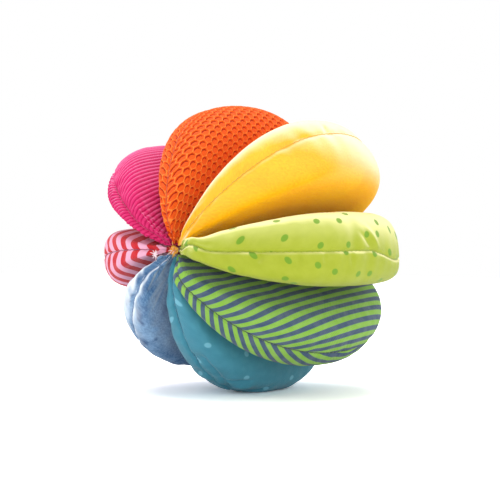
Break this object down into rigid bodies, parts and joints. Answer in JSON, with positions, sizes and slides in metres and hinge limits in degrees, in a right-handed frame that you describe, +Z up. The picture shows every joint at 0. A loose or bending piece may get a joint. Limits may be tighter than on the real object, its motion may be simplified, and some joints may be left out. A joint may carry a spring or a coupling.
{
  "type": "fabric baby ball",
  "caption": "Soft grasping ball of stuffed half-round fabric petals sewn together at two poles, with a rattle and crinkle film inside.",
  "frame": {"origin": "at the level of the pressed flat of the lowest petal, straight below the middle of the ball", "axes": "+Z up, -Z out of the flat that the ball rests on, Y along the axis between the two poles with the front pole at -Y, +X towards the lime petal"},
  "size_m": [0.1213, 0.1133, 0.1196],
  "materials": {
    "lime_cotton": "printed cotton with small dots",
    "yellow_plush": "short pile plush",
    "orange_mesh": "spacer mesh with small cells",
    "magenta_corduroy": "corduroy",
    "red_striped_cotton": "striped cotton",
    "sky_velour": "crushed velour",
    "teal_cotton": "printed cotton with small dots",
    "green_striped_jersey": "striped jersey",
    "fibre_filling": "loose polyester fibre",
    "seam_thread": "sewing thread",
    "pole_thread": "knotted sewing thread",
    "crinkle_film": "thin crinkling film",
    "rattle_plastic": "moulded",
    "bead_plastic": "moulded"
  },
  "bodies": {
    "core": {"pole_knot_front": "pole_thread", "pole_knot_back": "pole_thread", "centre_tie": "pole_thread"},
    "lime_petal": {"lime_dot_panel_a": "lime_cotton", "lime_dot_panel_b": "lime_cotton", "lime_dot_seam_thread": "seam_thread", "lime_dot_crinkle_film": "crinkle_film", "lime_dot_filling": "fibre_filling"},
    "yellow_petal": {"yellow_plush_panel_a": "yellow_plush", "yellow_plush_panel_b": "yellow_plush", "yellow_plush_seam_thread": "seam_thread", "yellow_plush_filling": "fibre_filling"},
    "orange_petal": {"orange_mesh_panel_a": "orange_mesh", "orange_mesh_panel_b": "orange_mesh", "orange_mesh_seam_thread": "seam_thread", "orange_mesh_filling": "fibre_filling"},
    "magenta_petal": {"magenta_cord_panel_a": "magenta_corduroy", "magenta_cord_panel_b": "magenta_corduroy", "magenta_cord_seam_thread": "seam_thread", "magenta_cord_filling": "fibre_filling"},
    "red_petal": {"red_stripe_panel_a": "red_striped_cotton", "red_stripe_panel_b": "red_striped_cotton", "red_stripe_seam_thread": "seam_thread", "red_stripe_filling": "fibre_filling"},
    "sky_petal": {"sky_velour_panel_a": "sky_velour", "sky_velour_panel_b": "sky_velour", "sky_velour_seam_thread": "seam_thread", "sky_velour_filling": "fibre_filling"},
    "teal_petal": {"teal_dot_panel_a": "teal_cotton", "teal_dot_panel_b": "teal_cotton", "teal_dot_seam_thread": "seam_thread", "teal_dot_crinkle_film": "crinkle_film", "teal_dot_filling": "fibre_filling"},
    "green_petal": {"green_stripe_panel_a": "green_striped_jersey", "green_stripe_panel_b": "green_striped_jersey", "green_stripe_seam_thread": "seam_thread", "green_stripe_filling_a": "fibre_filling", "green_stripe_filling_b": "fibre_filling", "rattle_cup_upper": "rattle_plastic", "rattle_cup_lower": "rattle_plastic"},
    "rattle_bead_1": {"rattle_bead_1": "bead_plastic"},
    "rattle_bead_2": {"rattle_bead_2": "bead_plastic"},
    "rattle_bead_3": {"rattle_bead_3": "bead_plastic"}
  },
  "joints": [
    {"name": "lime_swing", "type": "hinge", "parent": "core", "child": "lime_petal", "pos_m": [0, 0, 0.06026], "axis": [0, 1, 0], "range_deg": [-4.5, 4.5], "stiffness_Nm_per_rad": 0.3},
    {"name": "yellow_swing", "type": "hinge", "parent": "core", "child": "yellow_petal", "pos_m": [0, 0, 0.06026], "axis": [0, 1, 0], "range_deg": [-4.5, 4.5], "stiffness_Nm_per_rad": 0.3},
    {"name": "orange_swing", "type": "hinge", "parent": "core", "child": "orange_petal", "pos_m": [0, 0, 0.06026], "axis": [0, 1, 0], "range_deg": [-4.5, 4.5], "stiffness_Nm_per_rad": 0.3},
    {"name": "magenta_swing", "type": "hinge", "parent": "core", "child": "magenta_petal", "pos_m": [0, 0, 0.06026], "axis": [0, 1, 0], "range_deg": [-4.5, 4.5], "stiffness_Nm_per_rad": 0.3},
    {"name": "red_swing", "type": "hinge", "parent": "core", "child": "red_petal", "pos_m": [0, 0, 0.06026], "axis": [0, 1, 0], "range_deg": [-4.5, 4.5], "stiffness_Nm_per_rad": 0.3},
    {"name": "sky_swing", "type": "hinge", "parent": "core", "child": "sky_petal", "pos_m": [0, 0, 0.06026], "axis": [0, 1, 0], "range_deg": [-4.5, 4.5], "stiffness_Nm_per_rad": 0.3},
    {"name": "teal_swing", "type": "hinge", "parent": "core", "child": "teal_petal", "pos_m": [0, 0, 0.06026], "axis": [0, 1, 0], "range_deg": [-4.5, 4.5], "stiffness_Nm_per_rad": 0.3},
    {"name": "green_swing", "type": "hinge", "parent": "core", "child": "green_petal", "pos_m": [0, 0, 0.06026], "axis": [0, 1, 0], "range_deg": [-4.5, 4.5], "stiffness_Nm_per_rad": 0.3},
    {"name": "bead_1_shake", "type": "slide", "parent": "green_petal", "child": "rattle_bead_1", "axis": [0, 0, 1], "range_m": [0, 0.0075]},
    {"name": "bead_2_shake", "type": "slide", "parent": "green_petal", "child": "rattle_bead_2", "axis": [0, 0, 1], "range_m": [0, 0.0075]},
    {"name": "bead_3_shake", "type": "slide", "parent": "green_petal", "child": "rattle_bead_3", "axis": [0, 0, 1], "range_m": [0, 0.0075]}
  ]
}
